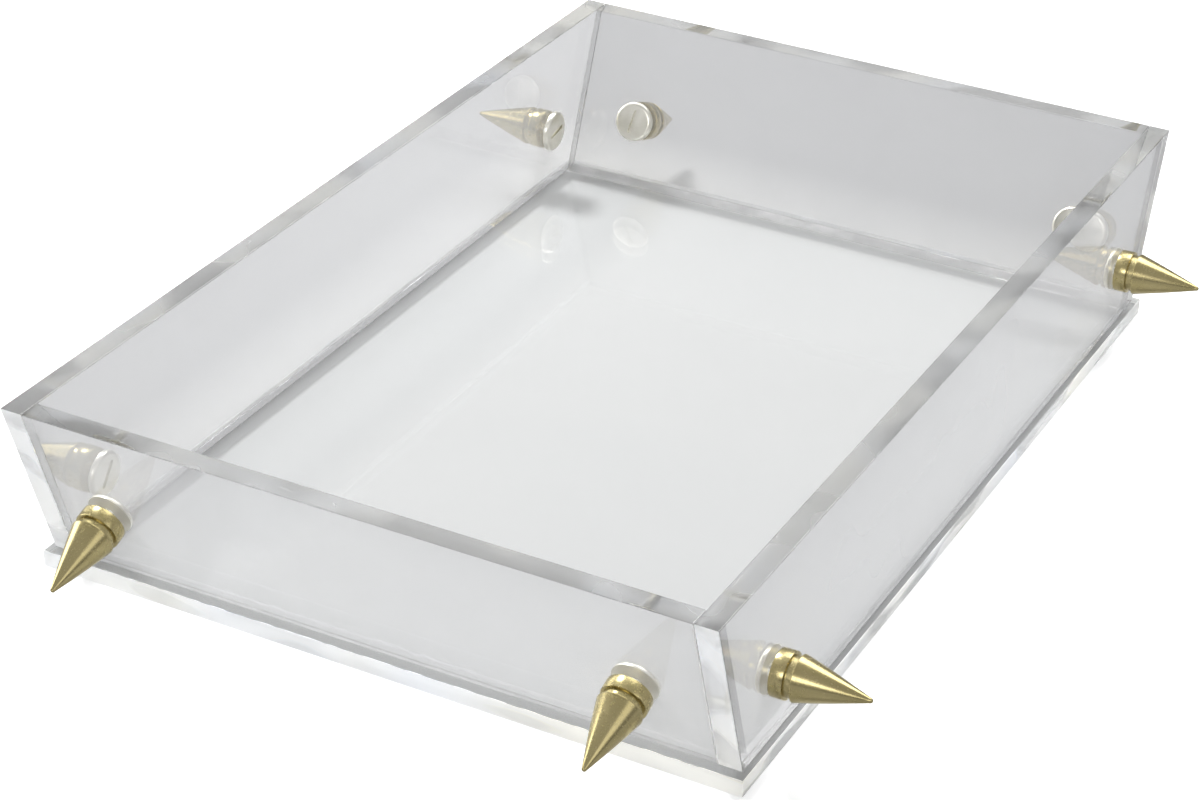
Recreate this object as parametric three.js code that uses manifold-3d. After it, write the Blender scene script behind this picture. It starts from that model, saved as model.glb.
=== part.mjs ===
// Letter tray: a clear acrylic tray with eight screw-on spike studs.
//
// Five acrylic sheets are cemented together: a base slab, two upright side walls, and two end
// walls that lean outwards and stand between the side walls. Near each corner, both walls carry
// a brass-coloured spike outside, held by a slotted screw that passes through the wall from inside.
//
// Units are millimetres. +Z is up, +Y runs along the tray's long side, and +X across it. The
// origin is the centre of the base slab's underside, on the surface that the tray stands on.

import * as THREE from 'three';
import { mergeVertices } from 'three/addons/utils/BufferGeometryUtils.js';
import Module from 'manifold-3d';

const wasm = await Module();
wasm.setup();

// ---- Driving dimensions -------------------------------------------------------------------

const TRAY_HEIGHT = 65;
const TOP_LENGTH = 368; // along Y, over the tops of the leaning end walls
const BODY_WIDTH = 234; // along X, over the outer faces of the side walls
const BASE_LENGTH = 333;
const BASE_THICKNESS = 5.6;
const WALL_THICKNESS = 7.5;
const SIDE_LEDGE = 2; // strip of base slab that shows beside each side wall
const END_LEDGE = 3.7; // strip of base slab that shows in front of each end wall's foot
const CEMENT_GAP = 0.1; // bond line between two cemented sheets

const SIDE_STUD_HEIGHT = 27.5; // of a side wall's stud, where its axis meets the outer face
const END_STUD_HEIGHT = 26.5; // of an end wall's stud, in the same way
const STUD_SPACING_ALONG = 285; // between the two studs of a side wall
const STUD_SPACING_ACROSS = 177; // between the two studs of an end wall
const END_STUD_SHIFT = 3.5; // of an end wall's two studs, to its left as seen from outside
const SCREW_HOLE_DIAMETER = 4.6;

const SPIKE_LENGTH = 29;
const SPIKE_DIAMETER = 14.6;
const COLLAR_LENGTH = 4.4;
const NECK_LENGTH = 2;
const NECK_DIAMETER = 12.6;
const TIP_RADIUS = 0.8;
const SPIKE_EDGE = 0.4; // small chamfer on the collar's and the cone's edges
const THREAD_HOLE_DIAMETER = 4.2;
const THREAD_HOLE_DEPTH = 11;
const SPIKE_GAP = 0.05; // between a spike's foot and the wall

const SCREW_DIAMETER = 4;
const SCREW_REACH = 8; // of the shank inside the spike
const HEAD_DIAMETER = 15;
const HEAD_FACE_DIAMETER = 12.6;
const HEAD_THICKNESS = 1.9;
const HEAD_RIM = 0.7; // straight part of the head's edge
const HEAD_GAP = 0.05; // between a screw's head and the wall
const SLOT_LENGTH = 9.4;
const SLOT_WIDTH = 1.6;
const SLOT_DEPTH = 1;

const ROUND_SIDES = 28;
const HOLE_SIDES = 16;
const CUT_MARGIN = 1; // how far a drill starts outside the piece it cuts
const MERGE_DISTANCE = 1e-4; // corners closer than this are one corner

// ---- Worked-out places --------------------------------------------------------------------

const WALL_FOOT = BASE_THICKNESS + CEMENT_GAP;
const WALL_HEIGHT = TRAY_HEIGHT - WALL_FOOT;
const FOOT_LENGTH = BASE_LENGTH - 2 * END_LEDGE; // over the outer faces of the end walls' feet
const LEAN = Math.atan((TOP_LENGTH - FOOT_LENGTH) / 2 / WALL_HEIGHT);
const LEVEL_THICKNESS = WALL_THICKNESS / Math.cos(LEAN); // of an end wall, measured level
const END_WALL_WIDTH = BODY_WIDTH - 2 * (WALL_THICKNESS + CEMENT_GAP);
const END_FACE_AT_STUD = FOOT_LENGTH / 2 + (END_STUD_HEIGHT - WALL_FOOT) * Math.tan(LEAN);

// ---- Materials ----------------------------------------------------------------------------

const acrylic = () => new THREE.MeshStandardMaterial({
  color: 0xe6ebee, roughness: 0.05, metalness: 0, transparent: true, opacity: 0.35,
});
const spikeBrass = () => new THREE.MeshStandardMaterial({
  color: 0xc9a855, roughness: 0.12, metalness: 1,
});
const screwBrass = () => new THREE.MeshStandardMaterial({
  color: 0xd6d0b8, roughness: 0.3, metalness: 1,
});

// ---- Helpers ------------------------------------------------------------------------------

/** Keeps only the corner positions of a closed geometry, with shared corners merged. */
function cleanGeometry(geometry) {
  const bare = geometry.clone();
  bare.deleteAttribute('normal');
  bare.deleteAttribute('uv');
  return mergeVertices(bare, MERGE_DISTANCE);
}

function solidFrom(geometry) {
  const clean = cleanGeometry(geometry);
  return new wasm.Manifold(new wasm.Mesh({
    numProp: 3,
    vertProperties: Float32Array.from(clean.attributes.position.array),
    triVerts: Uint32Array.from(clean.index.array),
  }));
}

function geometryFrom(solid) {
  const mesh = solid.getMesh();
  const geometry = new THREE.BufferGeometry();
  geometry.setAttribute('position', new THREE.BufferAttribute(mesh.vertProperties, 3));
  geometry.setIndex(new THREE.BufferAttribute(mesh.triVerts, 1));
  geometry.computeVertexNormals();
  return geometry;
}

function makePart(name, geometry, material) {
  const mesh = new THREE.Mesh(geometry, material);
  mesh.name = name;
  return mesh;
}

/** A cylinder between two heights on the Z axis. */
function rod(diameter, bottom, top, sides) {
  const cylinder = new THREE.CylinderGeometry(diameter / 2, diameter / 2, top - bottom, sides);
  cylinder.rotateX(Math.PI / 2);
  cylinder.translate(0, 0, (bottom + top) / 2);
  return cylinder;
}

/** Turns an outline of [radius, height] points around the Z axis. */
function turned(outline) {
  const profile = outline.map(([radius, height]) => new THREE.Vector2(radius, height));
  const lathe = new THREE.LatheGeometry(profile, ROUND_SIDES);
  lathe.rotateX(Math.PI / 2);
  return lathe;
}

// ---- Stud places --------------------------------------------------------------------------

/**
 * The eight studs. Each has the wall it sits on and a frame whose origin lies on the wall's
 * outer face and whose +Z points straight out of that wall.
 */
function studPlaces() {
  const places = [];
  for (const [wall, side] of [['left', -1], ['right', 1]]) {
    for (const [end, along] of [['front', -1], ['back', 1]]) {
      const frame = new THREE.Matrix4().makeRotationY(side * Math.PI / 2);
      frame.setPosition(
        side * BODY_WIDTH / 2, along * STUD_SPACING_ALONG / 2, SIDE_STUD_HEIGHT,
      );
      places.push({ wall, corner: `${wall}_${end}`, frame });
    }
  }
  for (const [wall, end] of [['front', -1], ['back', 1]]) {
    for (const [sideName, across] of [['left', -1], ['right', 1]]) {
      const frame = new THREE.Matrix4().makeRotationX(-end * (Math.PI / 2 + LEAN));
      frame.setPosition(
        across * STUD_SPACING_ACROSS / 2 + end * END_STUD_SHIFT,
        end * END_FACE_AT_STUD,
        END_STUD_HEIGHT,
      );
      places.push({ wall, corner: `${wall}_${sideName}`, frame });
    }
  }
  return places;
}

const studs = studPlaces();

/** Drills the clearance hole of every stud on one wall. */
function drilled(wallName, geometry) {
  let solid = solidFrom(geometry);
  for (const { frame } of studs.filter((stud) => stud.wall === wallName)) {
    const drill = rod(SCREW_HOLE_DIAMETER, -WALL_THICKNESS - CUT_MARGIN, CUT_MARGIN, HOLE_SIDES);
    drill.applyMatrix4(frame);
    solid = solid.subtract(solidFrom(drill));
  }
  return geometryFrom(solid);
}

// ---- Acrylic sheets -----------------------------------------------------------------------

function baseSlab() {
  const width = BODY_WIDTH + 2 * SIDE_LEDGE;
  const slab = new THREE.BoxGeometry(width, BASE_LENGTH, BASE_THICKNESS);
  slab.translate(0, 0, BASE_THICKNESS / 2);
  return makePart('base_slab', slab, acrylic());
}

/** Extrudes an outline drawn in (y, z) along X, from one x to another. */
function extrudedAcross(outline, fromX, toX) {
  const shape = new THREE.Shape(outline.map(([y, z]) => new THREE.Vector2(y, z)));
  const sheet = new THREE.ExtrudeGeometry(shape, { depth: toX - fromX, bevelEnabled: false });
  const axes = new THREE.Matrix4().makeBasis(
    new THREE.Vector3(0, 1, 0), new THREE.Vector3(0, 0, 1), new THREE.Vector3(1, 0, 0),
  );
  sheet.applyMatrix4(axes);
  sheet.translate(fromX, 0, 0);
  return sheet;
}

/** An upright trapezoid, longer along its top edge than along its foot. */
function sideWall(name, side) {
  const outline = [
    [-FOOT_LENGTH / 2, WALL_FOOT],
    [FOOT_LENGTH / 2, WALL_FOOT],
    [TOP_LENGTH / 2, TRAY_HEIGHT],
    [-TOP_LENGTH / 2, TRAY_HEIGHT],
  ];
  const outerX = side * BODY_WIDTH / 2;
  const innerX = outerX - side * WALL_THICKNESS;
  const sheet = extrudedAcross(outline, Math.min(outerX, innerX), Math.max(outerX, innerX));
  return makePart(`${name}_side_wall`, drilled(name, sheet), acrylic());
}

/** A leaning sheet whose top and foot edges are cut level. */
function endWall(name, end) {
  const outline = [
    [FOOT_LENGTH / 2 - LEVEL_THICKNESS, WALL_FOOT],
    [FOOT_LENGTH / 2, WALL_FOOT],
    [TOP_LENGTH / 2, TRAY_HEIGHT],
    [TOP_LENGTH / 2 - LEVEL_THICKNESS, TRAY_HEIGHT],
  ];
  const sheet = extrudedAcross(outline, -END_WALL_WIDTH / 2, END_WALL_WIDTH / 2);
  if (end < 0) {
    sheet.rotateZ(Math.PI);
  }
  return makePart(`${name}_end_wall`, drilled(name, sheet), acrylic());
}

// ---- Studs --------------------------------------------------------------------------------

/** Collar, neck and cone in one piece, with a threaded hole up its middle. */
function spikeGeometry() {
  const collarRadius = SPIKE_DIAMETER / 2;
  const neckRadius = NECK_DIAMETER / 2;
  const coneFoot = COLLAR_LENGTH + NECK_LENGTH;
  const tipCentre = SPIKE_LENGTH - TIP_RADIUS;
  const outline = [
    [0, SPIKE_GAP],
    [collarRadius - SPIKE_EDGE, SPIKE_GAP],
    [collarRadius, SPIKE_GAP + SPIKE_EDGE],
    [collarRadius, COLLAR_LENGTH - SPIKE_EDGE],
    [collarRadius - SPIKE_EDGE, COLLAR_LENGTH],
    [neckRadius, COLLAR_LENGTH],
    [neckRadius, coneFoot],
    [collarRadius - SPIKE_EDGE, coneFoot],
    [collarRadius - SPIKE_EDGE / 2, coneFoot + SPIKE_EDGE],
  ];
  const flankSteps = 4;
  const flankBulge = 0.15; // how far the flank stands out from a straight cone at mid-length
  const flankFoot = coneFoot + 3 * SPIKE_EDGE;
  for (let step = 0; step <= flankSteps; step += 1) {
    const along = step / flankSteps;
    const straight = THREE.MathUtils.lerp(collarRadius - SPIKE_EDGE / 2, TIP_RADIUS, along);
    const bulge = flankBulge * Math.sin(Math.PI * along);
    outline.push([straight + bulge, THREE.MathUtils.lerp(flankFoot, tipCentre, along)]);
  }
  const tipSteps = 3;
  for (let step = 1; step < tipSteps; step += 1) {
    const angle = Math.PI / 2 * step / tipSteps;
    outline.push([TIP_RADIUS * Math.cos(angle), tipCentre + TIP_RADIUS * Math.sin(angle)]);
  }
  outline.push([0, SPIKE_LENGTH]);
  const threadHole = rod(THREAD_HOLE_DIAMETER, -CUT_MARGIN, THREAD_HOLE_DEPTH, HOLE_SIDES);
  return geometryFrom(solidFrom(turned(outline)).subtract(solidFrom(threadHole)));
}

/** A wide, low slotted head on a plain shank that reaches through the wall into the spike. */
function screwGeometry() {
  const headRadius = HEAD_DIAMETER / 2;
  const underHead = -WALL_THICKNESS - HEAD_GAP;
  const headTop = underHead - HEAD_THICKNESS;
  const outline = [
    [0, headTop],
    [HEAD_FACE_DIAMETER / 2, headTop],
    [headRadius, underHead - HEAD_RIM],
    [headRadius, underHead],
    [SCREW_DIAMETER / 2, underHead],
    [SCREW_DIAMETER / 2, SCREW_REACH],
    [0, SCREW_REACH],
  ];
  const slot = new THREE.BoxGeometry(SLOT_WIDTH, SLOT_LENGTH, 2 * SLOT_DEPTH);
  slot.translate(0, 0, headTop);
  return geometryFrom(solidFrom(turned(outline)).subtract(solidFrom(slot)));
}

function addStuds(tray) {
  const spike = spikeGeometry();
  const screw = screwGeometry();
  const pieces = [['spike', spike, spikeBrass], ['screw', screw, screwBrass]];
  for (const { corner, frame } of studs) {
    for (const [piece, geometry, material] of pieces) {
      const part = makePart(`${piece}_${corner}`, geometry, material());
      part.applyMatrix4(frame);
      tray.add(part);
    }
  }
}

// ---- Assembly -----------------------------------------------------------------------------

const tray = new THREE.Group();
tray.add(baseSlab());
tray.add(sideWall('left', -1));
tray.add(sideWall('right', 1));
tray.add(endWall('front', -1));
tray.add(endWall('back', 1));
addStuds(tray);

export default tray;
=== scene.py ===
"""Looks for the acrylic letter tray: five clear sheets, eight brass spikes and their slotted screws."""

import math
import random

import bmesh
import bpy
from mathutils import Matrix, Vector, noise


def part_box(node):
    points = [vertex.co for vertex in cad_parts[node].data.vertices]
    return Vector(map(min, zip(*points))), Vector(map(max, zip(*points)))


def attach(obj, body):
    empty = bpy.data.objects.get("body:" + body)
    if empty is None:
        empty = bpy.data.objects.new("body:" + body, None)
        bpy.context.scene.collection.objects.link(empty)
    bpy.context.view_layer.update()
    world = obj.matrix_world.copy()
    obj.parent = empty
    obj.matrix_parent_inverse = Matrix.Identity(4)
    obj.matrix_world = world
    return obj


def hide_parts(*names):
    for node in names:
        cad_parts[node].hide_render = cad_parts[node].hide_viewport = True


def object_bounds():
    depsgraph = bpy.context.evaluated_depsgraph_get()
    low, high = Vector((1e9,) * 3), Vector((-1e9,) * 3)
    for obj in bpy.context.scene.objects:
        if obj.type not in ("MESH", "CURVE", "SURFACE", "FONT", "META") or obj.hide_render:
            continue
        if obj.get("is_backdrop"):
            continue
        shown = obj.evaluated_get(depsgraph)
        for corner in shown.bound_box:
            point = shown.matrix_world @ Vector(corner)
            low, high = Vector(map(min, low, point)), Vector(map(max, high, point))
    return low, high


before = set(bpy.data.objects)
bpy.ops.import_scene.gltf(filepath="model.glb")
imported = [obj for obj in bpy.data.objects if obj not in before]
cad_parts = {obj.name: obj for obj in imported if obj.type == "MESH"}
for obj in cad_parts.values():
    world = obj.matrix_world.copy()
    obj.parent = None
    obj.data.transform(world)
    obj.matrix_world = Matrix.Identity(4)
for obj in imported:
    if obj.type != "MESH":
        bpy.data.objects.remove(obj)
cad_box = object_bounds()

MM = 0.001

# ---- Sheets: polished edges and cemented feet -------------------------------------------------

EDGE_ROUNDING = 0.3 * MM
EDGE_SEGMENTS = 2
CUT_SPACING = (3 * MM, 10 * MM)  # shortest and longest stretch between two cuts along an edge
WAVE_LENGTH = 6 * MM
RIM_WAVE = 0.03 * MM  # how far a flame-polished rim rises and falls
FOOT_WAVE = 0.06 * MM  # how unevenly the cement has drawn a wall's foot down
FOOT_WAVE_STRETCH = 3  # the foot's waves are this many times as long as the rim's
DRILL_SIDES = 48
DRILL_DIAMETER = 4.6 * MM
SAME_PLACE = 0.02 * MM
FLAT_ON = 0.999  # a polygon with this much of its normal along the sheet's own belongs to a face
EDGE_ON = 0.8  # and one with more than this much along a listed way looks that way

# ---- Studs --------------------------------------------------------------------------------

TURNED_SIDES = 96
SHARP_ANGLE = math.radians(28)  # edges that turn more than this stay sharp
TIP_SLACK = 0.001 * MM  # corners of the CAD spike this close to its far end are its tip
COLLAR_LENGTH = 4.4 * MM
NECK_LENGTH = 2 * MM
NECK_INSET = 1 * MM
TIP_RADIUS = 0.8 * MM
FLANK_BULGE = 0.15 * MM
FLANK_STEPS = 24
TIP_STEPS = 6
TURNED_EDGE = 0.35 * MM
THREAD_HOLE_RADIUS = 2.1 * MM
THREAD_HOLE_DEPTH = 11 * MM

HEAD_THICKNESS = 1.9 * MM
HEAD_RADIUS = 7.5 * MM
HEAD_FACE_RADIUS = 6.1 * MM
HEAD_RIM = 0.6 * MM
HEAD_DOME_STEPS = 5
SLOT_LENGTH = 9.4 * MM
SLOT_WIDTH = 1.6 * MM
SLOT_DEPTH = 1 * MM
SLOT_END_SIDES = 10
SLOT_TURNS = (35, 80, 140, 15, 60, 120, 100, 165)  # degrees: the screws stop at any angle
SHANK_RADIUS = 2 * MM
THREAD_PITCH = 0.8 * MM
THREAD_DEPTH = 0.3 * MM
THREAD_ROWS = 6  # rows of vertices in each pitch

# ---- Camera: the photograph's viewing angle -------------------------------------------------

CAMERA_AZIMUTH = math.radians(26.93)
CAMERA_PITCH = math.radians(29.58)
CAMERA_ROLL = math.radians(1.698)
CAMERA_DISTANCE = 1028.7 * MM
CAMERA_TO_RIGHT = -11.9 * MM
CAMERA_UPWARDS = 9.71 * MM
CAMERA_LENS = 92.33  # mm
SENSOR_WIDTH = 36  # mm


# ---- Material nodes -----------------------------------------------------------------------


class Nodes:
    """A short way to add and join the nodes of one material."""

    def __init__(self, name):
        self.material = bpy.data.materials.new(name)
        self.material.use_nodes = True
        self.tree = self.material.node_tree
        self.tree.nodes.clear()
        self.output = self.tree.nodes.new("ShaderNodeOutputMaterial")

    def add(self, kind, settings=None, **inputs):
        """Adds a node. Each input is a value or an output to join to it."""
        node = self.tree.nodes.new(kind)
        for key, value in (settings or {}).items():
            setattr(node, key, value)
        for key, value in inputs.items():
            socket = node.inputs[key.replace("_", " ")]
            if isinstance(value, bpy.types.NodeSocket):
                self.tree.links.new(value, socket)
            else:
                socket.default_value = value
        return node

    def stretched(self, scale):
        """The piece's own coordinates, multiplied along each axis."""
        place = self.add("ShaderNodeTexCoord").outputs["Object"]
        return self.add("ShaderNodeMapping", Vector=place, Scale=scale).outputs["Vector"]

    def noise(self, scale, detail=2.0):
        """Noise from 0 to 1. Scale is how many cells there are in a metre, along each axis."""
        return self.add(
            "ShaderNodeTexNoise", Vector=self.stretched(scale), Scale=1.0, Detail=detail,
        ).outputs["Fac"]

    def ramp(self, value, low, high, out_low=0.0, out_high=1.0):
        """Maps value from low..high to out_low..out_high and holds it there."""
        node = self.add("ShaderNodeMapRange", Value=value)
        node.inputs["From Min"].default_value = low
        node.inputs["From Max"].default_value = high
        node.inputs["To Min"].default_value = out_low
        node.inputs["To Max"].default_value = out_high
        return node.outputs["Result"]

    def mixed_colour(self, value, first, second):
        """The first colour where value is 0, the second where it is 1."""
        node = self.add("ShaderNodeMix", {"data_type": "RGBA"})
        self.tree.links.new(value, node.inputs["Factor"])
        # The Mix node has an A, a B and a Result for each data type; these are the colour ones.
        node.inputs[6].default_value = (*first, 1)
        node.inputs[7].default_value = (*second, 1)
        return node.outputs[2]

    def bump(self, height, distance):
        return self.add(
            "ShaderNodeBump", Height=height, Distance=distance, Strength=1.0,
        ).outputs["Normal"]

    def larger(self, first, second):
        """The larger of two outputs."""
        node = self.add("ShaderNodeMath", {"operation": "MAXIMUM"})
        self.tree.links.new(first, node.inputs[0])
        self.tree.links.new(second, node.inputs[1])
        return node.outputs[0]

    def mixed_shader(self, share, first, second):
        """Share is how much of the second shader shows: a number, or an output to join."""
        node = self.add("ShaderNodeMixShader", Fac=share)
        self.tree.links.new(first, node.inputs[1])
        self.tree.links.new(second, node.inputs[2])
        return node.outputs[0]

    def finish(self, shader):
        self.tree.links.new(shader, self.output.inputs["Surface"])
        return self.material


ACRYLIC_IOR = 1.491
FACE_TINT = (0.965, 0.966, 0.968)
FACE_SMEAR = (0.945, 0.947, 0.95)
EDGE_TINT = (0.9, 0.905, 0.905)
EDGE_SMEAR = (0.78, 0.79, 0.805)
# Painted shade: the rims' dark tint, darker again in patches, stands in for the dim light seen in the
# polished rims.
RIM_PAINTED_SHADE = (0.5, 0.5, 0.49)
RIM_PAINTED_SHADE_PATCHES = (0.38, 0.38, 0.375)
FILM_COLOUR = (0.75, 0.75, 0.755)
WALL_FILM = (0.18, 0.3)  # thinnest and thickest of the haze of handling on a wall
SLAB_FILM = (0.03, 0.07)
# Painted light: cool and warm tints on the cut edges, standing in for white light split by the edge.
PAINTED_FRINGE_COOL = (0.88, 0.92, 1.0)
PAINTED_FRINGE_WARM = (1.0, 0.98, 0.88)
FACE_SHADE = (0.94, 0.945, 0.95)  # what a lamp's light keeps when it passes a face
EDGE_SHADE = (0.75, 0.755, 0.76)

# Scales of noise are in cells per metre, along X, Y and Z.
SMEAR_SCALE = (9, 14, 11)
HAZE_SCALE = (160, 160, 160)
FACE_WAVES = (7, 7, 7)
FILM_SCALE = (14, 9, 12)
EDGE_WAVES = (120, 120, 120)
PAINTED_FRINGE_SCALE = (16, 16, 16)
JOINT_WAVES = (90, 90, 90)
JOINT_STREAKS = (60, 60, 60)
SURFACE_WAVE = 0.02 * MM

FACE_ROUGHNESS = 0.004
EDGE_ROUGHNESS = 0.03
JOINT_ROUGHNESS = 0.02
SATIN_ROUGHNESS = 0.3
SATIN_CLEARNESS = 0.35
FILM_LIT_BEHIND = 0.42  # share of the film's light that comes through from the far side


def clear_plastic(n, tint, smear_and_shade, wave_scale, roughness):
    """The shader of clear cast acrylic, with a faintly uneven surface."""
    # A second colour shows in patches: smudges on faces and cut edges, painted shade on the rims.
    patches = n.ramp(n.noise(SMEAR_SCALE, detail=3), 0.45, 0.75)
    haze = n.ramp(n.noise(HAZE_SCALE, detail=4), 0.5, 0.9, roughness, 3 * roughness)
    wave = n.noise(wave_scale, detail=3)
    return n.add(
        "ShaderNodeBsdfPrincipled",
        Base_Color=n.mixed_colour(patches, tint, smear_and_shade),
        Roughness=haze,
        IOR=ACRYLIC_IOR,
        Transmission_Weight=1.0,
        Normal=n.bump(wave, SURFACE_WAVE),
    ).outputs[0]


def let_lamps_through(n, shader, shade):
    """Lamps and diffuse light pass straight through the surface, a little dimmed."""
    open_air = n.add("ShaderNodeBsdfTransparent", Color=(*shade, 1)).outputs[0]
    path = n.add("ShaderNodeLightPath")
    either = n.larger(path.outputs["Is Shadow Ray"], path.outputs["Is Diffuse Ray"])
    return n.mixed_shader(either, shader, open_air)


def acrylic_face(name, film_share):
    """A sheet's large face: clear, under a thin film of handling whose share comes as a range."""
    n = Nodes(name)
    clear = clear_plastic(n, FACE_TINT, FACE_SMEAR, FACE_WAVES, FACE_ROUGHNESS)
    lit_here = n.add("ShaderNodeBsdfDiffuse", Color=(*FILM_COLOUR, 1)).outputs[0]
    lit_behind = n.add("ShaderNodeBsdfTranslucent", Color=(*FILM_COLOUR, 1)).outputs[0]
    film = n.mixed_shader(FILM_LIT_BEHIND, lit_here, lit_behind)
    thickness = n.ramp(n.noise(FILM_SCALE, detail=3), 0.3, 0.8, *film_share)
    return n.finish(let_lamps_through(n, n.mixed_shader(thickness, clear, film), FACE_SHADE))


def acrylic_edge(name, tint, smear_and_shade, patch_scale, painted_glow, clearest, dullest):
    """A cut edge: partly clear and partly satin, in patches. The satin has a painted glow that stands
    in for the light that runs inside the sheet, and painted colour fringes.
    """
    n = Nodes(name)
    clear = clear_plastic(n, tint, smear_and_shade, EDGE_WAVES, EDGE_ROUGHNESS)
    painted_fringe = n.ramp(n.noise(PAINTED_FRINGE_SCALE), 0.35, 0.65)  # painted colour fringes, cool and warm in patches, stand in for the cut edge splitting white light
    satin = n.add(
        "ShaderNodeBsdfPrincipled",
        Base_Color=n.mixed_colour(painted_fringe, PAINTED_FRINGE_COOL, PAINTED_FRINGE_WARM),
        Roughness=SATIN_ROUGHNESS,
        IOR=ACRYLIC_IOR,
        Transmission_Weight=SATIN_CLEARNESS,
        # Painted light: the edge glows as if lit from inside, though nothing lights it.
        Emission_Color=(1, 1, 0.98, 1),
        Emission_Strength=painted_glow,
    ).outputs[0]
    patches = n.ramp(n.noise(patch_scale, detail=1), 0.43, 0.57, clearest, dullest)
    return n.finish(let_lamps_through(n, n.mixed_shader(patches, clear, satin), EDGE_SHADE))


def cement_joint(name, cloud_colour, clearest, cloudiest, shade):
    """The thin layer of cement between two sheets: a mirror from inside, cloudy in places."""
    n = Nodes(name)
    clear = clear_plastic(n, FACE_TINT, FACE_SMEAR, JOINT_WAVES, JOINT_ROUGHNESS)
    cloud = n.add("ShaderNodeBsdfDiffuse", Color=(*cloud_colour, 1)).outputs[0]
    streaks = n.ramp(n.noise(JOINT_STREAKS, detail=4), 0.45, 0.75, clearest, cloudiest)
    return n.finish(let_lamps_through(n, n.mixed_shader(streaks, clear, cloud), shade))


# The Z axis of a stud's own coordinates is the axis that it was turned around.
DULL_PATCHES = (140, 140, 90)
TURNING_RINGS = (60, 60, 4500)
SCUFF_SCALE = (900, 900, 900)
SCUFF_WEAR = 1.4  # how many times as rough a scuff is
SPIKE_BRIGHT = (0.5, 0.425, 0.215)
SPIKE_DULL = (0.42, 0.355, 0.165)
SCREW_BRIGHT = (0.86, 0.84, 0.76)
SCREW_DULL = (0.74, 0.72, 0.63)


def brass(name, bright, dull, roughness, turning_height):
    """Plated brass turned on a lathe: fine rings around the axis and a few dull patches."""
    n = Nodes(name)
    patches = n.ramp(n.noise(DULL_PATCHES, detail=3), 0.4, 0.7)
    rings = n.noise(TURNING_RINGS, detail=2)
    scuffs = n.noise(SCUFF_SCALE, detail=3)
    worn = n.ramp(scuffs, 0.55, 0.8, roughness, SCUFF_WEAR * roughness)
    metal = n.add(
        "ShaderNodeBsdfPrincipled",
        Base_Color=n.mixed_colour(patches, bright, dull),
        Metallic=1.0,
        Roughness=worn,
        Normal=n.bump(rings, turning_height),
    )
    return n.finish(metal.outputs[0])


FLOOR_GRAIN = (40, 40, 40)
FLOOR_WHITES = ((0.93, 0.93, 0.93), (0.95, 0.95, 0.95))
FLOOR_ROUGHNESS = 0.9
FLOOR_GLOW = 0.3
# Painted shade: the floor that the camera sees only through the tray or in reflections, lighter over
# the slab and darker further out.
PAINTED_SHADE_REACH = (0.95, 1.3)  # in half widths and half lengths of the base slab
PAINTED_SHADE_NEAR = (0.6, 0.6, 0.59)
PAINTED_SHADE_FAR = (0.37, 0.373, 0.377)


def floor_material():
    """White where it is looked at directly. Everywhere else, as seen through the tray, in reflections
    and in bounced light, a painted shade of grey, darker further out from the base slab.
    """
    n = Nodes("pale_floor")
    grain = n.noise(FLOOR_GRAIN, detail=4)
    white = n.add(
        "ShaderNodeBsdfPrincipled",
        Base_Color=n.mixed_colour(grain, *FLOOR_WHITES),
        Roughness=FLOOR_ROUGHNESS,
        Emission_Color=(1, 1, 1, 1),
        Emission_Strength=FLOOR_GLOW,
    ).outputs[0]
    # How far out a spot of the floor is, as a multiple of the base slab's half width and length.
    half_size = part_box("base_slab")[1]
    spot = n.add("ShaderNodeVectorMath", {"operation": "ABSOLUTE"})
    n.tree.links.new(n.stretched((1 / half_size.x, 1 / half_size.y, 0)), spot.inputs[0])
    parts = n.add("ShaderNodeSeparateXYZ", Vector=spot.outputs["Vector"])
    away = n.ramp(n.larger(parts.outputs["X"], parts.outputs["Y"]), *PAINTED_SHADE_REACH)
    # Painted shade for every ray but the camera's.
    grey = n.add("ShaderNodeBsdfDiffuse", Color=n.mixed_colour(away, PAINTED_SHADE_NEAR, PAINTED_SHADE_FAR)).outputs[0]
    direct = n.add("ShaderNodeLightPath").outputs["Is Camera Ray"]
    return n.finish(n.mixed_shader(direct, grey, white))


wall_face = acrylic_face("acrylic_wall", WALL_FILM)
slab_face = acrylic_face("acrylic_slab", SLAB_FILM)
rim_edge = acrylic_edge(
    "acrylic_rim", RIM_PAINTED_SHADE, RIM_PAINTED_SHADE_PATCHES,
    patch_scale=(35, 35, 35), painted_glow=0, clearest=0.02, dullest=0.2,
)
end_edge = acrylic_edge(
    "acrylic_end", EDGE_TINT, EDGE_SMEAR,
    patch_scale=(60, 60, 60), painted_glow=0.25, clearest=0.45, dullest=1.0,
)
slab_side_edge = acrylic_edge(
    "acrylic_slab_side", EDGE_TINT, EDGE_SMEAR,
    patch_scale=(150, 30, 150), painted_glow=0.2, clearest=0.35, dullest=1.0,
)
slab_end_edge = acrylic_edge(
    "acrylic_slab_end", EDGE_TINT, EDGE_SMEAR,
    patch_scale=(25, 90, 90), painted_glow=0.3, clearest=0.7, dullest=1.0,
)
joint = cement_joint(
    "cement_joint", (0.3, 0.3, 0.305),
    clearest=0.15, cloudiest=0.5, shade=(0.1, 0.1, 0.105),
)
end_foot_joint = cement_joint(
    "cement_end_foot", (0.72, 0.72, 0.71),
    clearest=0.3, cloudiest=0.55, shade=(0.5, 0.5, 0.5),
)
spike_metal = brass(
    "spike_brass", SPIKE_BRIGHT, SPIKE_DULL, roughness=0.24, turning_height=0.001 * MM,
)
screw_metal = brass(
    "screw_brass", SCREW_BRIGHT, SCREW_DULL, roughness=0.3, turning_height=0.002 * MM,
)


# ---- Mesh helpers ---------------------------------------------------------------------------


def object_from(name, bm):
    """Turns a bmesh into an object in the scene, and frees the bmesh."""
    mesh = bpy.data.meshes.new(name)
    bm.to_mesh(mesh)
    bm.free()
    made = bpy.data.objects.new(name, mesh)
    bpy.context.scene.collection.objects.link(made)
    return made


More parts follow.
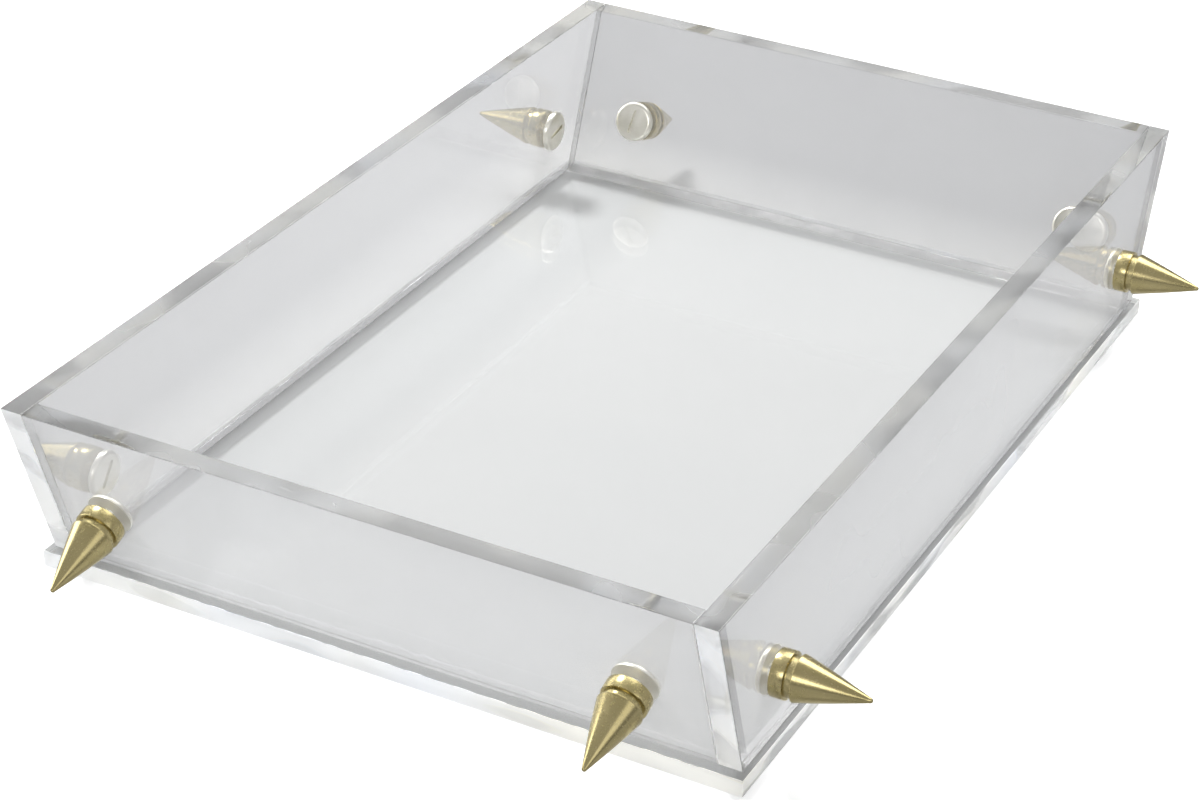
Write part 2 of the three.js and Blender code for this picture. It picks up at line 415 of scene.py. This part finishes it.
def cut_away(body, cutters):
    """Takes each cutter's solid out of the body, and removes the cutters."""
    for cutter in cutters:
        cut = body.modifiers.new("cut", "BOOLEAN")
        cut.object = cutter
        cut.operation = "DIFFERENCE"
        cut.solver = "EXACT"
    graph = bpy.context.evaluated_depsgraph_get()
    result = bpy.data.meshes.new_from_object(body.evaluated_get(graph))
    body.modifiers.clear()
    body.data = result
    for cutter in cutters:
        bpy.data.objects.remove(cutter)


def turned(name, rows, sides, place=Matrix.Identity(4)):
    """A closed solid around Z. Each row is (radius, height); a radius may be a function of angle."""
    bm = bmesh.new()
    rings = []
    for radius, height in rows:
        if not callable(radius) and radius == 0:
            rings.append([bm.verts.new((0, 0, height))])
            continue
        ring = []
        for side in range(sides):
            angle = 2 * math.pi * side / sides
            r = radius(angle) if callable(radius) else radius
            ring.append(bm.verts.new((r * math.cos(angle), r * math.sin(angle), height)))
        rings.append(ring)
    for lower, upper in zip(rings, rings[1:]):
        for side in range(sides):
            after = (side + 1) % sides
            corners = [lower[side % len(lower)], lower[after % len(lower)],
                       upper[after % len(upper)], upper[side % len(upper)]]
            bm.faces.new(list(dict.fromkeys(corners)))
    bmesh.ops.recalc_face_normals(bm, faces=bm.faces)
    bmesh.ops.transform(bm, matrix=place, verts=bm.verts)
    return object_from(name, bm)


def smooth_except(piece, angle):
    """Smooth shading, with sharp edges where two faces meet at more than the angle."""
    mesh = piece.data
    mesh.shade_smooth()
    mesh.set_sharp_from_angle(angle=angle)


def dress(piece, node, slot, *materials):
    """Gives a piece its materials and makes it stand for a CAD node."""
    piece.data.materials.clear()
    for material in materials:
        piece.data.materials.append(material)
    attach(piece, "root")
    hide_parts(node)


# ---- Sheets ---------------------------------------------------------------------------------

DOWN = Vector((0, 0, -1))
LEFT = Vector((-1, 0, 0))
RIGHT = Vector((1, 0, 0))
FORWARDS = Vector((0, -1, 0))
BACKWARDS = Vector((0, 1, 0))


def points_at(node, height):
    """The y of every corner of a CAD node at one height, from smallest to largest."""
    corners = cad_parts[node].data.vertices
    return sorted(v.co.y for v in corners if abs(v.co.z - height) < SAME_PLACE)


def cuts_along(low, high, seed):
    """Places between low and high, a few millimetres apart."""
    chance = random.Random(seed)
    place = low + chance.uniform(*CUT_SPACING)
    while place < high - CUT_SPACING[0]:
        yield place
        place += chance.uniform(*CUT_SPACING)


def wave(bm, long_axis, seed):
    """Moves the rim and the foot of a wall down a little, here more and there less."""
    top = max(v.co.z for v in bm.verts)
    bottom = min(v.co.z for v in bm.verts)
    for v in bm.verts:
        spot = v.co[long_axis] / WAVE_LENGTH
        if v.co.z > top - 2 * EDGE_ROUNDING:
            v.co.z -= RIM_WAVE * (0.5 + 0.5 * noise.noise((spot, seed, 0)))
        elif v.co.z < bottom + SAME_PLACE:
            v.co.z -= FOOT_WAVE * max(0, noise.noise((spot / FOOT_WAVE_STRETCH, seed, 5)))


def sheet(node, outline, low, high, long_axis, seed, waved):
    """Extrudes an outline of (y, z) corners along X from low to high and rounds its edges."""
    bm = bmesh.new()
    ends = [[bm.verts.new((x, y, z)) for y, z in outline] for x in (low, high)]
    for end in ends:
        bm.faces.new(end)
    for side in range(len(outline)):
        after = (side + 1) % len(outline)
        bm.faces.new([ends[0][side], ends[0][after], ends[1][after], ends[1][side]])
    bmesh.ops.recalc_face_normals(bm, faces=bm.faces)
    bmesh.ops.bevel(
        bm, geom=bm.edges, offset=EDGE_ROUNDING, segments=EDGE_SEGMENTS, profile=0.5,
        affect="EDGES",
    )
    first = min(v.co[long_axis] for v in bm.verts)
    last = max(v.co[long_axis] for v in bm.verts)
    along = Vector([1.0 if axis == long_axis else 0.0 for axis in range(3)])
    for place in cuts_along(first, last, seed):
        everything = bm.verts[:] + bm.edges[:] + bm.faces[:]
        bmesh.ops.bisect_plane(bm, geom=everything, plane_co=along * place, plane_no=along)
    if waved:
        wave(bm, long_axis, seed)
    return object_from(f"acrylic_{node}", bm)


def mark_faces(piece, outwards, edge_ways):
    """Material 0 on the two faces, 1 on the edges, and 2 and up on edges that look a listed way."""
    for polygon in piece.data.polygons:
        if abs(polygon.normal.dot(outwards)) > FLAT_ON:
            polygon.material_index = 0
            continue
        polygon.material_index = 1
        for number, ways in enumerate(edge_ways, start=2):
            if any(polygon.normal.dot(way) > EDGE_ON for way in ways):
                polygon.material_index = number


def wall_sheet(node, outline, long_axis, seed, drills, outwards, edges):
    """One wall. Edges lists materials other than the rim's, each with the ways that it looks."""
    low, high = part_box(node)
    piece = sheet(node, outline, low.x, high.x, long_axis, seed, waved=True)
    cut_away(piece, drills)
    dress(piece, node, "clear_acrylic", wall_face, rim_edge, *(material for material, _ in edges))
    mark_faces(piece, outwards, [ways for _, ways in edges])


def side_sheet(node, end_node, seed, drills):
    """An upright side wall, whose foot is as long as the end walls' feet are apart."""
    low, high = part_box(node)
    foot = points_at(end_node, low.z)[-1]
    outline = [(-foot, low.z), (foot, low.z), (high.y, high.z), (low.y, high.z)]
    edges = [(joint, [DOWN]), (end_edge, [FORWARDS, BACKWARDS])]
    wall_sheet(node, outline, 1, seed, drills, RIGHT, edges)


def end_sheet(node, seed, drills, outwards):
    """A leaning end wall."""
    low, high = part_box(node)
    foot, top = points_at(node, low.z), points_at(node, high.z)
    outline = [(foot[0], low.z), (foot[-1], low.z), (top[-1], high.z), (top[0], high.z)]
    edges = [(joint, [LEFT, RIGHT]), (end_foot_joint, [DOWN])]
    wall_sheet(node, outline, 0, seed, drills, outwards, edges)


def base_sheet(node, seed):
    """The slab that the walls stand on."""
    low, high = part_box(node)
    outline = [(low.y, low.z), (high.y, low.z), (high.y, high.z), (low.y, high.z)]
    piece = sheet(node, outline, low.x, high.x, 1, seed, waved=False)
    dress(piece, node, "clear_acrylic", slab_face, slab_side_edge, slab_end_edge)
    mark_faces(piece, DOWN, [[FORWARDS, BACKWARDS]])


# ---- Studs ----------------------------------------------------------------------------------


def end_lean():
    """The angle by which the end walls lean out from upright."""
    node = "back_end_wall"
    low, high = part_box(node)
    foot, top = points_at(node, low.z), points_at(node, high.z)
    return math.atan2(top[-1] - foot[-1], high.z - low.z)


def outward(wall):
    """The way that the outer face of a wall looks."""
    lean = end_lean()
    return {
        "left": LEFT,
        "right": RIGHT,
        "front": Vector((0, -math.cos(lean), -math.sin(lean))),
        "back": Vector((0, math.cos(lean), -math.sin(lean))),
    }[wall]


def stud_frame(corner):
    """A matrix whose origin is the spike's foot and whose Z points out, and the spike's length."""
    axis = outward(corner.split("_")[0])
    points = [v.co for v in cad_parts[f"spike_{corner}"].data.vertices]
    furthest = max(point.dot(axis) for point in points)
    at_tip = [point for point in points if point.dot(axis) > furthest - TIP_SLACK]
    tip = sum(at_tip, Vector()) / len(at_tip)
    length = furthest - min(point.dot(axis) for point in points)
    turn = Vector((0, 0, 1)).rotation_difference(axis).to_matrix().to_4x4()
    return Matrix.Translation(tip - axis * length) @ turn, length


def drill(place, wall_thickness):
    """A plain rod that reaches through the wall, to take the hole out of it."""
    radius = DRILL_DIAMETER / 2
    inner = -1.5 * wall_thickness
    outer = 0.5 * wall_thickness
    rows = [(0, inner), (radius, inner), (radius, outer), (0, outer)]
    return turned("drill", rows, DRILL_SIDES, place)


def spike_rows(radius, length):
    """The outline of a spike, from the bottom of its threaded hole to its tip.

    Every outer corner is taken off by about one edge width.
    """
    edge = TURNED_EDGE
    neck = radius - NECK_INSET
    cone_foot = COLLAR_LENGTH + NECK_LENGTH
    rows = [
        (0, THREAD_HOLE_DEPTH),
        (THREAD_HOLE_RADIUS, THREAD_HOLE_DEPTH),
        (THREAD_HOLE_RADIUS, edge),
        (THREAD_HOLE_RADIUS + edge, 0),
        (radius - edge, 0),
        (radius - 0.3 * edge, 0.3 * edge),
        (radius, edge),
        (radius, COLLAR_LENGTH - edge),
        (radius - 0.3 * edge, COLLAR_LENGTH - 0.3 * edge),
        (radius - edge, COLLAR_LENGTH),
        (neck, COLLAR_LENGTH + 0.1 * edge),
        (neck, cone_foot - 0.1 * edge),
        (radius - 1.5 * edge, cone_foot),
        (radius - 0.7 * edge, cone_foot + 0.3 * edge),
        (radius - 0.4 * edge, cone_foot + edge),
    ]
    flank_radius, flank_foot = rows[-1]
    tip_centre = length - TIP_RADIUS
    for step in range(1, FLANK_STEPS + 1):
        along = step / FLANK_STEPS
        bulge = FLANK_BULGE * math.sin(math.pi * along)
        row_radius = flank_radius * (1 - along) + TIP_RADIUS * along + bulge
        rows.append((row_radius, flank_foot * (1 - along) + tip_centre * along))
    for step in range(1, TIP_STEPS):
        angle = math.pi / 2 * step / TIP_STEPS
        rows.append((TIP_RADIUS * math.cos(angle), tip_centre + TIP_RADIUS * math.sin(angle)))
    rows.append((0, length))
    return rows


def spike(corner, place, length):
    """The turned spike on the outside of one stud."""
    low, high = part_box(f"spike_{corner}")
    on_end_wall = corner.startswith(("front", "back"))
    across = high.x - low.x if on_end_wall else high.y - low.y
    piece = turned(f"brass_spike_{corner}", spike_rows(across / 2, length), TURNED_SIDES)
    smooth_except(piece, SHARP_ANGLE)
    piece.matrix_world = place
    dress(piece, f"spike_{corner}", "spike_brass", spike_metal)


def threaded_row(height):
    """A ring of the thread at one height: its radius rises and falls once a turn."""
    def radius(angle):
        turn = (height / THREAD_PITCH - angle / (2 * math.pi)) % 1
        return SHANK_RADIUS - THREAD_DEPTH * abs(2 * turn - 1)
    return radius, height


def slot_cutter(head_top, degrees):
    """A bar with round ends, as a small milling cutter leaves it."""
    bm = bmesh.new()
    half = SLOT_WIDTH / 2
    straight = SLOT_LENGTH / 2 - half
    outline = []
    for end in (1, -1):
        for step in range(SLOT_END_SIDES + 1):
            angle = math.pi * (step / SLOT_END_SIDES - 0.5)
            outline.append((end * (straight + half * math.cos(angle)), end * half * math.sin(angle)))
    rings = [[bm.verts.new((x, y, head_top + z)) for x, y in outline]
             for z in (-SLOT_DEPTH, SLOT_DEPTH)]
    bm.faces.new(rings[0])
    bm.faces.new(rings[1])
    for side in range(len(outline)):
        after = (side + 1) % len(outline)
        bm.faces.new([rings[0][side], rings[0][after], rings[1][after], rings[1][side]])
    bmesh.ops.recalc_face_normals(bm, faces=bm.faces)
    bmesh.ops.rotate(bm, verts=bm.verts, matrix=Matrix.Rotation(math.radians(degrees), 3, "Z"))
    return object_from("slot_cutter", bm)


def screw_rows(under_head, top, reach):
    """The outline of a screw: its domed head, then its thread, from the wall to its far end."""
    rows = [(0, top), (HEAD_FACE_RADIUS, top)]
    for step in range(1, HEAD_DOME_STEPS + 1):
        angle = math.pi / 2 * step / HEAD_DOME_STEPS
        rows.append((
            HEAD_FACE_RADIUS + (HEAD_RADIUS - HEAD_FACE_RADIUS) * math.sin(angle),
            top + (HEAD_THICKNESS - HEAD_RIM) * (1 - math.cos(angle)),
        ))
    rows += [(HEAD_RADIUS, under_head), (SHANK_RADIUS, under_head)]
    row_step = THREAD_PITCH / THREAD_ROWS
    thread_start = under_head + row_step
    for row in range(int((reach - thread_start) / row_step)):
        rows.append(threaded_row(thread_start + row * row_step))
    rows += [(SHANK_RADIUS - THREAD_DEPTH, reach), (0, reach)]
    return rows


def screw(corner, place, wall_thickness, reach, degrees):
    """The slotted screw inside the wall. Reach is how far its end goes into the spike."""
    under_head = -wall_thickness
    top = under_head - HEAD_THICKNESS
    piece = turned(f"brass_screw_{corner}", screw_rows(under_head, top, reach), TURNED_SIDES)
    cut_away(piece, [slot_cutter(top, degrees)])
    smooth_except(piece, SHARP_ANGLE)
    piece.matrix_world = place
    dress(piece, f"screw_{corner}", "screw_brass", screw_metal)


# ---- The object -----------------------------------------------------------------------------

CORNERS = {
    "left": ("left_front", "left_back"),
    "right": ("right_front", "right_back"),
    "front": ("front_left", "front_right"),
    "back": ("back_left", "back_right"),
}
side_low, side_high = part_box("left_side_wall")
wall_thickness = side_high.x - side_low.x
drills = {wall: [] for wall in CORNERS}
screw_reach = side_low.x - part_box("screw_left_front")[0].x
slot_turns = iter(SLOT_TURNS)
for wall, corners in CORNERS.items():
    for corner in corners:
        place, length = stud_frame(corner)
        drills[wall].append(drill(place, wall_thickness))
        spike(corner, place, length)
        screw(corner, place, wall_thickness, screw_reach, next(slot_turns))

base_sheet("base_slab", 1)
side_sheet("left_side_wall", "back_end_wall", 2, drills["left"])
side_sheet("right_side_wall", "back_end_wall", 3, drills["right"])
end_sheet("front_end_wall", 4, drills["front"], outward("front"))
end_sheet("back_end_wall", 5, drills["back"], outward("back"))


# ---- Stage, light and camera ------------------------------------------------------------------

FLOOR_RADIUS = 5.0
FLOOR_SIDES = 24
FLOOR_GAP = 0.2 * MM  # the tray stands on the floor with a little air under it

HORIZON_COLOUR = (0.45, 0.45, 0.46, 1)
SKY_COLOUR = (1.0, 1.0, 1.0, 1)
SKY_REACHED = 0.8  # the height at which the sky has its full brightness, of 1 overhead
WORLD_STRENGTH = 0.5

# Each softbox has its place, what it is aimed at, its width and height in metres, and its watts.
TRAY_MIDDLE = (0, 0, 0)
SOFTBOXES = {
    "high_back": ((0.15, 0.95, 1.3), TRAY_MIDDLE, 1.2, 0.9, 13),
    "left_lamp": ((-0.9, 0.5, 1.25), TRAY_MIDDLE, 0.3, 0.3, 22),
    "left_window": ((-1.5, 0.2, 0.42), (0, -0.1, 0.05), 1.4, 0.8, 13.5),
    "front_fill": ((0.2, -1.6, 0.8), TRAY_MIDDLE, 0.8, 0.5, 6),
    "right_fill": ((1.5, -0.5, 0.9), TRAY_MIDDLE, 1.2, 0.8, 3),
}


def add_floor():
    bm = bmesh.new()
    bmesh.ops.create_circle(bm, cap_ends=True, radius=FLOOR_RADIUS, segments=FLOOR_SIDES)
    bmesh.ops.translate(bm, verts=bm.verts, vec=(0, 0, -FLOOR_GAP))
    floor = object_from("pale_floor", bm)
    floor.data.materials.append(floor_material())
    floor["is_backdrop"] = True


def add_softbox(name, place, aim, width, height, watts):
    """A white rectangular lamp that looks from its place towards its aim."""
    lamp = bpy.data.lights.new(name, "AREA")
    lamp.shape = "RECTANGLE"
    lamp.size = width
    lamp.size_y = height
    lamp.energy = watts
    holder = bpy.data.objects.new(name, lamp)
    holder.location = place
    holder.rotation_euler = (Vector(aim) - Vector(place)).to_track_quat("-Z", "Y").to_euler()
    bpy.context.scene.collection.objects.link(holder)


def add_world():
    """A soft studio: bright overhead, dimmer towards the horizon."""
    world = bpy.data.worlds.new("studio")
    world.use_nodes = True
    tree = world.node_tree
    tree.nodes.clear()
    place = tree.nodes.new("ShaderNodeTexCoord")
    parts = tree.nodes.new("ShaderNodeSeparateXYZ")
    ramp = tree.nodes.new("ShaderNodeValToRGB")
    ramp.color_ramp.elements[0].position = 0.0
    ramp.color_ramp.elements[0].color = HORIZON_COLOUR
    ramp.color_ramp.elements[1].position = SKY_REACHED
    ramp.color_ramp.elements[1].color = SKY_COLOUR
    background = tree.nodes.new("ShaderNodeBackground")
    background.inputs["Strength"].default_value = WORLD_STRENGTH
    output = tree.nodes.new("ShaderNodeOutputWorld")
    tree.links.new(place.outputs["Generated"], parts.inputs[0])
    tree.links.new(parts.outputs["Z"], ramp.inputs["Fac"])
    tree.links.new(ramp.outputs["Color"], background.inputs["Color"])
    tree.links.new(background.outputs[0], output.inputs["Surface"])
    bpy.context.scene.world = world


def add_camera():
    """Turned to the right by the azimuth, tipped down by the pitch, then moved across its view."""
    across = Vector((math.cos(CAMERA_AZIMUTH), math.sin(CAMERA_AZIMUTH), 0))
    level = Vector((-math.sin(CAMERA_AZIMUTH), math.cos(CAMERA_AZIMUTH), 0))
    ahead = level * math.cos(CAMERA_PITCH) - Vector((0, 0, math.sin(CAMERA_PITCH)))
    upwards = across.cross(ahead)
    right = across * math.cos(CAMERA_ROLL) + upwards * math.sin(CAMERA_ROLL)
    top = upwards * math.cos(CAMERA_ROLL) - across * math.sin(CAMERA_ROLL)
    camera = bpy.data.cameras.new("camera")
    camera.lens = CAMERA_LENS
    camera.sensor_width = SENSOR_WIDTH
    camera.clip_start = 0.01
    holder = bpy.data.objects.new("camera", camera)
    spot = right * CAMERA_TO_RIGHT + top * CAMERA_UPWARDS - ahead * CAMERA_DISTANCE
    axes = Matrix((right, top, -ahead)).transposed().to_4x4()
    holder.matrix_world = Matrix.Translation(spot) @ axes
    bpy.context.scene.collection.objects.link(holder)
    bpy.context.scene.camera = holder


add_floor()
add_world()
for name, settings in SOFTBOXES.items():
    add_softbox(name, *settings)
add_camera()

scene = bpy.context.scene
scene.view_settings.view_transform = "Standard"
scene.view_settings.look = "None"
# A ray can cross a dozen acrylic surfaces, so it gets many bounces.
scene.cycles.max_bounces = 32
scene.cycles.transmission_bounces = 32
scene.cycles.transparent_max_bounces = 48
scene.cycles.glossy_bounces = 12
scene.cycles.diffuse_bounces = 4

bpy.context.view_layer.update()
boxes = {"cad": cad_box, "visual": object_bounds()}
{name: [list(corner) for corner in box] for name, box in boxes.items()}
